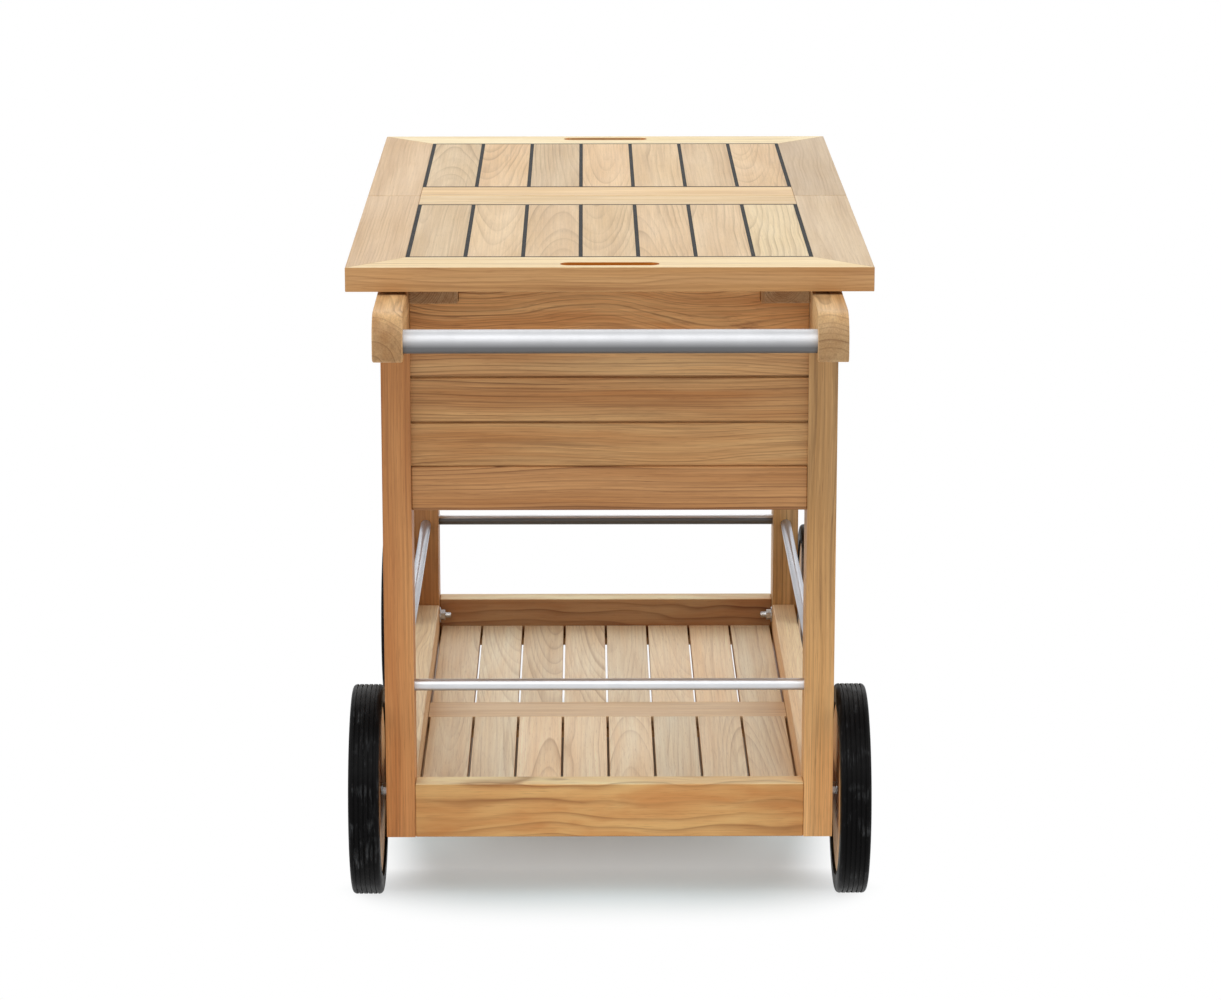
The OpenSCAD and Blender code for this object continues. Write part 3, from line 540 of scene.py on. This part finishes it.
# Paler: painted light that lifts the shade of the leaf over the runners
RUNNER_WOOD_PAINTED_LIGHT = tones((240, 202, 150), (212, 164, 110), (116, 76, 44))
LEFT_LEG_WOOD = tones((207, 152, 96), (182, 122, 70), (102, 58, 31))
RIGHT_LEG_WOOD = tones((210, 170, 118), (182, 139, 87), (90, 62, 37))
ARM_WOOD = tones((234, 194, 140), (204, 156, 102), (104, 68, 38))
BOX_WOOD = tones((214, 170, 116), (182, 126, 74), (88, 50, 26))
BOX_RAIL_WOOD = tones((212, 156, 100), (184, 124, 70), (104, 60, 32))
INNER_WOOD = tones((214, 172, 122), (196, 150, 100), (130, 86, 50))
# Paler than the teak above: painted light that lifts the shade of the box over the shelf
SHELF_SLAT_WOOD_PAINTED_LIGHT = tones((255, 242, 210), (246, 220, 180), (160, 120, 84))
CROSS_RAIL_WOOD = tones((250, 224, 184), (236, 204, 158), (160, 118, 80))
SHELF_END_WOOD = tones((255, 240, 190), (233, 193, 137), (142, 96, 58))
# Paler: painted light that lifts the shade of the box over the shelf
SHELF_SIDE_WOOD_PAINTED_LIGHT = tones((255, 238, 200), (244, 214, 170), (164, 118, 80))
# Paler: painted light that lifts the shade on the wheel discs
DISC_WOOD_PAINTED_LIGHT = tones((230, 188, 134), (210, 162, 108), (146, 98, 58))

# Cuts that several rows of boards share
BESIDE_PITH = dict(tilt=0.012, aside=(40 * MM, 90 * MM))
SLAT_CUT = dict(rings=5.0 * MM, streaks=0.25, tilt=0.09, wave=3 * MM, pith=(8 * MM, 40 * MM),
                fibres=0.2, aside=(-40 * MM, 40 * MM))
RAIL_CUT = dict(lines=0.45, wave=6 * MM, **BESIDE_PITH)
LEG_CUT = dict(rings=4.4 * MM, tilt=0.015, wave=5 * MM, pith=(50 * MM, 110 * MM))
BOX_CUT = dict(tilt=0.035, wave=8 * MM, pith=(60 * MM, 140 * MM))

SLATS = 7  # in each leaf
TOP_ROUGHNESS = 0.46
# Painted shade: tints that darken all but the upper faces of the top
TOP_FLANK_SHADE = (0.85, 0.66, 0.54)
RAIL_FLANK_SHADE = (0.70, 0.50, 0.375)
SLAT_TINT = (1.18, 1.30, 1.38, 1.0)
SLOT_INSET = 23 * MM
SLOT_HALF = (58 * MM, 10.6 * MM)
SLOT_RIM = 0.5 * MM
# Painted warm shade for the walls of the finger slots
SLOT_SHADE_TINT = (0.97, 0.56, 0.135, 1.0)


def slot_glow(g, place, tone):
    """The walls of the finger slots, made darker and redder: painted warm shade of the recess.
    """
    rail_low, rail_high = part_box("leaf_handle_outer_rail")
    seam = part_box("leaf_handle_inner_rail")[1].y
    slot_y = seam - rail_low.y - SLOT_INSET
    from_seam = g.math("ABSOLUTE", g.math("SUBTRACT", place[1], seam))
    beside = g.math("LESS_THAN", g.math("ABSOLUTE", place[0]), SLOT_HALF[0])
    within = g.math("COMPARE", from_seam, slot_y, SLOT_HALF[1])
    below = g.math("LESS_THAN", place[2], rail_high.z - SLOT_RIM)
    amount = g.math("MULTIPLY", g.math("MULTIPLY", beside, within), below)
    return g.mix(amount, tone, g.multiply(tone, SLOT_SHADE_TINT))


def paler_slat(g, place, tone):
    """The last slat of the near leaf, which is paler than the others."""
    low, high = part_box("leaf_handle_slats")
    beside = g.math("GREATER_THAN", place[0], high.x - (high.x - low.x) / SLATS)
    near = g.math("LESS_THAN", place[1], high.y)
    return g.mix(g.math("MULTIPLY", beside, near), tone, g.multiply(tone, SLAT_TINT))


def dress_top():
    teak(every("leaf_{}_slats"), "Y", "Z", SLAT_WOOD, {"X": SLATS, "Y": 2}, seed=3.0, lines=0.6,
         flanks=TOP_FLANK_SHADE, mark=paler_slat, roughness=TOP_ROUGHNESS, **SLAT_CUT)
    teak(every("leaf_{}_stiles"), "Y", "Z", STILE_WOOD, {"X": 9, "Y": 2}, seed=11.0, lines=0.4,
         streaks=0.3, wave=3 * MM, fibres=0.2, flanks=TOP_FLANK_SHADE, roughness=TOP_ROUGHNESS,
         **BESIDE_PITH)
    teak(every("leaf_{}_outer_rail"), "X", "Z", OUTER_RAIL_WOOD_PAINTED_SHEEN, {"Y": 15}, seed=5.0,
         streaks=0.7, flanks=RAIL_FLANK_SHADE, mark=slot_glow, roughness=TOP_ROUGHNESS, **RAIL_CUT)
    teak(every("leaf_{}_inner_rail"), "X", "Z", INNER_RAIL_WOOD, {"Y": 2}, seed=9.0,
         streaks=0.6, flanks=RAIL_FLANK_SHADE, roughness=TOP_ROUGHNESS, **RAIL_CUT)
    teak(every("leaf_{}_runners"), "Y", "X", RUNNER_WOOD_PAINTED_LIGHT, {"X": 8, "Y": 2}, seed=17.0,
         rings=2.6 * MM, lines=0.95, streaks=0.8, pith=(10 * MM, 24 * MM))
    dress(caulk("caulk black"), *every("leaf_{}_caulk"))
    for part in ("stiles", "inner_rail", "outer_rail"):
        ease(0.9 * MM, *every(f"leaf_{{}}_{part}"))
    ease(0.35 * MM, *every("leaf_{}_slats"))
    ease(1.2 * MM, *every("leaf_{}_runners"))


FOOT_HEIGHTS = (0.50, 0.15)  # between them painted light makes the legs paler
BETWEEN_LEGS = (-0.1, 0.1)
# Painted shade of the far pair of legs
FAR_LEG_SHADE = 0.84


def paler_foot(amount):
    """A mark for the legs: painted light makes them paler towards the floor, and painted shade
    makes the far pair darker.
    """
    def mark(g, place, tone):
        foot = g.math("MULTIPLY", g.spread(place[2], *FOOT_HEIGHTS, 1.0, 1.0 + amount),
                      g.spread(place[1], *BETWEEN_LEGS, 1.0, FAR_LEG_SHADE))
        return g.multiply(tone, g.join(foot, foot, foot))
    return mark


def dress_frame():
    teak(every("leg_{}_left"), "Z", "X", LEFT_LEG_WOOD, {"Y": 14}, seed=23.0, lines=0.45,
         mark=paler_foot(0.25), **LEG_CUT)
    teak(every("leg_{}_right"), "Z", "X", RIGHT_LEG_WOOD, {"Y": 14}, seed=41.0, streaks=1.0,
         mark=paler_foot(0.56), **LEG_CUT)
    teak(every("arm_{}", SIDES), "Y", "Z", ARM_WOOD, {"X": 15}, seed=29.0, rings=4.6 * MM,
         lines=0.9, streaks=0.6, tilt=0.02)
    for side in SIDES:
        ease(1.4 * MM, *every(f"leg_{{}}_{side}"))
    ease(2.2 * MM, *every("arm_{}", SIDES), segments=3)


# For the four boards of an end wall, from below: a tint, and how much wilder the rings are. The
# top board's strong lightening is painted light against the shade of the leaf above
END_FIGURES_AND_PAINTED_LIGHT = (((1.08, 1.16, 1.20), 1.0), ((1.04, 0.99, 0.92), 0.8), ((1.12, 1.16, 1.20), 1.0),
               # Painted light: the top board's tint lifts the shade that the leaf casts on it
               ((1.56, 1.60, 1.56), 4.0))


def dress_box():
    for end, board_seed, rail_seed in zip(ENDS, (2.0, 8.0), (62.0, 68.0)):
        teak([f"end_boards_{end}"], "X", "Z", BOX_WOOD, {"Z": len(END_FIGURES_AND_PAINTED_LIGHT)},
             seed=board_seed, rings=4.6 * MM, lines=0.95, streaks=1.0, figures=END_FIGURES_AND_PAINTED_LIGHT,
             **BOX_CUT)
        teak([f"end_rail_{end}"], "X", "Z", BOX_RAIL_WOOD, seed=rail_seed, rings=6.0 * MM,
             lines=0.9, streaks=0.6, **BOX_CUT)
    teak(every("side_boards_{}", SIDES), "Y", "Z", BOX_WOOD, {"X": 37, "Z": 3}, seed=13.0,
         rings=4.6 * MM, lines=0.65, streaks=0.9, **BOX_CUT)
    teak(every("side_rail_{}", SIDES), "Y", "Z", BOX_WOOD, {"X": 24}, seed=71.0, **BOX_CUT)
    ease(0.8 * MM, *every("end_boards_{}"), *every("side_boards_{}", SIDES))
    ease(1.6 * MM, *every("end_rail_{}"), *every("side_rail_{}", SIDES))


def dress_inside():
    teak(["deck_planks"], "Y", "Z", INNER_WOOD, {"X": (8, 2 * MM)}, seed=37.0, tilt=0.04)
    teak(["box_floor"], "X", "Z", INNER_WOOD, {"Y": (6, 4 * MM)}, seed=43.0, tilt=0.05)
    teak(["shelf_ledges"], "X", "Y", INNER_WOOD, {"Y": 6}, seed=47.0)
    teak(["deck_cleats"], "Y", "Z", INNER_WOOD, {"X": 2}, seed=53.0)
    teak(["floor_ledges"], "Y", "Z", INNER_WOOD, {"X": 2}, seed=59.0)
    ease(0.8 * MM, "deck_planks", "box_floor", "deck_cleats", "floor_ledges", "shelf_ledges")
    dress(satin_steel("tub steel", TUB_STEEL, 0.27, marks=0.3), "ice_tub")


def dress_shelf():
    # The flank tints on the shelf are painted shade, darkest on the far end rail
    teak(every("shelf_slats_{}"), "Y", "Z", SHELF_SLAT_WOOD_PAINTED_LIGHT, {"X": (8, 3 * MM), "Y": 2},
         seed=61.0, lines=0.55, flanks=(0.84, 0.70, 0.60), **SLAT_CUT)
    teak(["shelf_cross_rail"], "X", "Z", CROSS_RAIL_WOOD, seed=67.0, **RAIL_CUT)
    for end, seed, flanks in zip(ENDS, (82.0, 99.0), ((0.77, 0.53, 0.34), (0.51, 0.35, 0.29))):
        teak([f"shelf_rail_{end}"], "X", "Y", SHELF_END_WOOD, seed=seed, rings=20.0 * MM,
             lines=1.0, streaks=0.15, tilt=0.03, wave=32 * MM, fibres=0.12,
             pith=(20 * MM, 40 * MM), aside=(60 * MM, 90 * MM), flanks=flanks)
    for side, seed in zip(SIDES, (87.0, 111.0)):
        teak([f"shelf_rail_{side}"], "Y", "X", SHELF_SIDE_WOOD_PAINTED_LIGHT, seed=seed, lines=0.4,
             streaks=0.4, tilt=0.02, flanks=(0.80, 0.68, 0.60))
    ease(1.0 * MM, *every("shelf_slats_{}"), "shelf_cross_rail")
    ease(1.6 * MM, *every("shelf_rail_{}"), *every("shelf_rail_{}", SIDES))


THREAD_PITCH = 1.25 * MM
THREAD_START = 1.6 * MM
THREAD_TURNS = 6
THREAD_STEPS = 24  # in each turn
THREAD_ROOT = 3.9 * MM
THREAD_CREST = 4.3 * MM
# Across the ridge: half pitches from its middle, and the radius there
THREAD_PROFILE = ((-1, THREAD_ROOT), (0, THREAD_CREST), (1, THREAD_ROOT))


def wind_thread(ridge, side, tip, y, z):
    """Winds one ridge round the bolt end at y and z, away from its tip towards side."""
    last = None
    for step in range(THREAD_TURNS * THREAD_STEPS + 1):
        turn = math.tau * step / THREAD_STEPS
        out = tip + THREAD_START + THREAD_PITCH * step / THREAD_STEPS
        ring = [ridge.verts.new((side * (out + shift * THREAD_PITCH / 2),
                                 y + radius * math.cos(turn),
                                 z + side * radius * math.sin(turn)))
                for shift, radius in THREAD_PROFILE]
        if last:
            for a in range(3):
                b = (a + 1) % 3
                ridge.faces.new((last[a], last[b], ring[b], ring[a]))
        else:
            ridge.faces.new(ring)
        last = ring
    ridge.faces.new(last[::-1])


def make_threads(steel):
    """The ridge of the thread on the bolt ends, wound from each tip to its nut."""
    points = [point.co for point in NODES["wheel_bolts"].data.vertices]
    tip = min(abs(point.x) for point in points)
    ridge = bmesh.new()
    for side, end in itertools.product((-1, 1), repeat=2):
        near = [point for point in points if point.x * side > 0 and point.y * end > 0
                and abs(point.x) < tip + THREAD_START]
        y = (min(point.y for point in near) + max(point.y for point in near)) / 2
        z = (min(point.z for point in near) + max(point.z for point in near)) / 2
        wind_thread(ridge, side, tip, y, z)
    bmesh.ops.recalc_face_normals(ridge, faces=ridge.faces)
    threads = link_mesh("bolt_threads", ridge, steel)
    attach(threads, "cart")


def dress_metal():
    # The last settings of each tube paint shade and reflection on its lower side
    dress(satin_steel("handle steel", HANDLE_STEEL, 0.48, "X", underside_shade=0.30, turn=(0.24, -0.38)),
          "handle_tube")
    dress(satin_steel("guard steel near", GUARD_STEEL, 0.36, "X", underside_shade=0.6, turn=(-0.2, -0.8),
                      metallic=0.8), "guard_tube_handle")
    dress(satin_steel("guard steel far", GUARD_STEEL, 0.36, "X", underside_shade=0.16, turn=(0.62, 0.40),
                      metallic=0.7), "guard_tube_far")
    dress(satin_steel("guard steel along", SIDE_STEEL, 0.30, "Y", underside_shade=0.5, turn=(0.1, -0.5),
                      metallic=0.8), *every("guard_tube_{}", SIDES))
    fixings = satin_steel("fixing steel", FIXING_STEEL, 0.24)
    dress(fixings, "wheel_bolts", "wheel_nuts", "wheel_washers",
          *every("wheel_bush_{}", CORNERS))
    make_threads(fixings)
    ease(0.25 * MM, "wheel_nuts", "wheel_washers")


def dress_wheels():
    rubber = tyre_rubber("tyre rubber")
    for corner, seed in zip(CORNERS, (94.0, 99.0, 104.0, 112.0)):
        teak([f"wheel_disc_{corner}"], "Z", "X", DISC_WOOD_PAINTED_LIGHT, seed=seed, rings=4.5 * MM,
             streaks=0.4, tilt=0.04)
        dress(rubber, f"wheel_tyre_{corner}")


# Stage, lamps and camera

FLOOR_RADIUS = 40.0
FLOOR_STEPS = 96
BOUNCED_GREY = (0.80, 0.80, 0.80, 1.0)
# The shadow shows in a rounded oblong under the cart, whose width and length change with y
SHADOW_CORNERS = 4.0  # the power that rounds them
SHADOW_EDGE = (0.90, 1.20)  # where it fades, in shares of the oblong
SHADOW_MIDDLE = 0.08
SHADOW_LENGTHENS = (-0.1, 0.2)
SHADOW_LENGTHS = (0.475, 0.322)
SHADOW_WIDENS = (-0.345, -0.27)
SHADOW_WIDTHS = (0.31, 0.25)
# Painted light, the white mixed into its shadow: SHADOW_LIFT in front, less by SHADOW_NEAR at
# the near edge, 0 behind
SHADOW_NEAR = 0.16
SHADOW_LIFT = 0.37
SHADOW_DEEPENS = (-0.26, 0.05)
# Its painted tint in front, and the painted darker shadow under the far half
SHADOW_TINT = (0.80, 0.95, 1.0, 1.0)
DEEP_SHADOW_PAINT = (0.42, 0.37, 0.33, 1.0)
DEEP_STARTS, DEEP_ENDS = (0.00, 0.12), (0.46, 0.40)


def make_floor():
    """A pale floor that the camera sees as white away from the cart's shadow; near the cart it
    keeps the lamps' shadow, with painted light mixed in at the front and painted shadow
    darkening it under the far half.
    """
    g = Graph(bpy.data.materials.new("pale floor"))
    x, y, _ = g.place()
    wider = g.spread(y, *SHADOW_WIDENS, *SHADOW_WIDTHS)
    longer = g.spread(y, *SHADOW_LENGTHENS, *SHADOW_LENGTHS)
    parts = []
    for place, middle, half in ((x, 0.0, wider), (y, SHADOW_MIDDLE, longer)):
        part = g.math("DIVIDE", g.math("SUBTRACT", place, middle), half)
        parts.append(g.math("POWER", g.math("ABSOLUTE", part), SHADOW_CORNERS))
    lift = g.math("SUBTRACT", g.spread(y, *SHADOW_DEEPENS, SHADOW_LIFT, 0.0),
                  g.spread(y, *SHADOW_WIDENS, SHADOW_NEAR, 0.0))
    away = g.spread(g.math("POWER", g.math("ADD", *parts), 1 / SHADOW_CORNERS), *SHADOW_EDGE,
                    lift, 1.0, shape="SMOOTHSTEP")
    painted_deep_shadow = g.math("MULTIPLY", g.spread(y, *DEEP_STARTS), g.spread(y, *DEEP_ENDS))
    seen = g.seen()
    paint = g.node("ShaderNodeBsdfDiffuse", {
        "Color": g.mix(seen, BOUNCED_GREY, g.mix(painted_deep_shadow, SHADOW_TINT, DEEP_SHADOW_PAINT))})
    white = g.node("ShaderNodeEmission", {"Color": WHITE, "Strength": 1.0})
    pick = g.node("ShaderNodeMixShader", {0: g.math("MULTIPLY", seen, away),
                                          1: paint.outputs[0], 2: white.outputs[0]})
    g.finish(pick.outputs[0])
    ground = bmesh.new()
    bmesh.ops.create_circle(ground, cap_ends=True, segments=FLOOR_STEPS, radius=FLOOR_RADIUS)
    floor = link_mesh("floor", ground, g.owner)


SKY_LIGHT = 0.45
SUNS = [
    # Name, strength, spread in degrees, direction that it comes from
    ("key lamp", 0.80, 45.0, (-0.1, -0.8, 1.0)),
    ("left lamp", 0.95, 45.0, (-1.0, -0.2, 0.55)),
    ("right lamp", 0.95, 45.0, (1.0, -0.2, 0.55)),
    ("back lamp", 0.50, 45.0, (0.0, 1.0, 0.8)),
]


def make_light():
    """Wide lamps, and a sky that looks white but gives less light."""
    world = bpy.data.worlds.new("studio")
    bpy.context.scene.world = world
    g = Graph(world)
    sky = g.node("ShaderNodeBackground", {
        "Color": WHITE, "Strength": g.spread(g.seen(), 0.0, 1.0, SKY_LIGHT, 1.0)})
    g.finish(sky.outputs[0], "ShaderNodeOutputWorld")
    for name, power, width, source in SUNS:
        lamp = bpy.data.lights.new(name, "SUN")
        lamp.energy = power
        lamp.angle = math.radians(width)
        holder = link(name, lamp)
        holder.rotation_euler = Vector(source).to_track_quat("Z", "Y").to_euler()


CAMERA_PLACE = (-0.028, -4.900, 1.591)
CAMERA_DOWN, CAMERA_TURN = 13.7, -0.37  # degrees
CAMERA_LENS, CAMERA_SENSOR = 117.7, 36.0  # millimetres
CAMERA_REACH = 100.0


def make_camera():
    """The camera of the photograph."""
    data = bpy.data.cameras.new("photo camera")
    data.sensor_width = CAMERA_SENSOR
    data.lens = CAMERA_LENS
    data.clip_end = CAMERA_REACH
    camera = link("photo camera", data)
    camera.location = CAMERA_PLACE
    camera.rotation_euler = (math.radians(90 - CAMERA_DOWN), 0.0, math.radians(CAMERA_TURN))
    bpy.context.scene.camera = camera


dress_top()
dress_frame()
dress_box()
dress_inside()
dress_shelf()
dress_metal()
dress_wheels()
make_floor()
make_light()
make_camera()
bpy.context.scene.view_settings.view_transform = "Standard"
